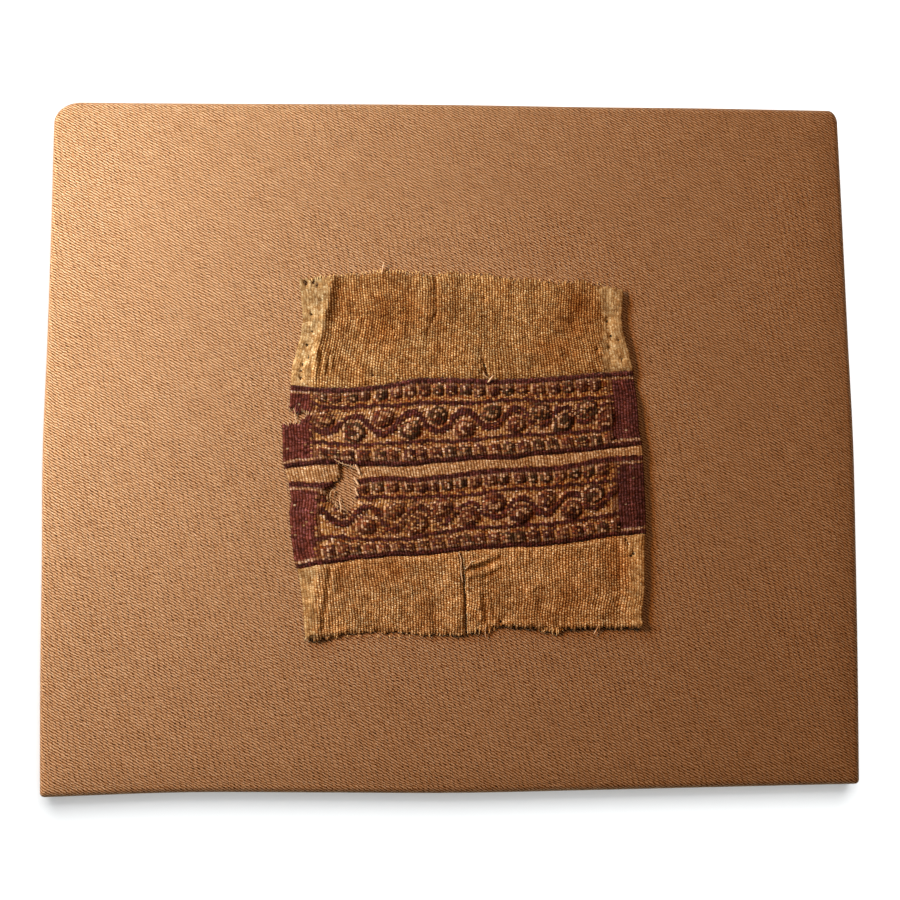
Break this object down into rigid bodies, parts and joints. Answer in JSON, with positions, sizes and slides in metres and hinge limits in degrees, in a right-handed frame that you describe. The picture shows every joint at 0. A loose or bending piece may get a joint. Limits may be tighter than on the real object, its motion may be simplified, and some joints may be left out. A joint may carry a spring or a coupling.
{
  "type": "coptic textile fragment mounted on a twill-covered board",
  "caption": "Flat board wrapped in brown twill, with a worn tapestry-banded cloth fragment fixed on its face.",
  "frame": {"origin": "under the middle of the board, on the plane that its back rests on", "axes": "+X to the right as seen from the front, +Y to the board's top edge, +Z out of its face; the board lies on its back"},
  "size_m": [0.2901, 0.2472, 0.0153],
  "materials": {
    "board": "plain sanded wood-fibre board, matt",
    "twill": "brown twill with fine slanting wales, matt",
    "tapestry": "old ochre plain weave with purple and brown tapestry bands, matt, worn"
  },
  "bodies": {
    "root": {"mount_board": "board", "mount_cover": "twill", "textile_fragment": "tapestry"}
  },
  "joints": []
}
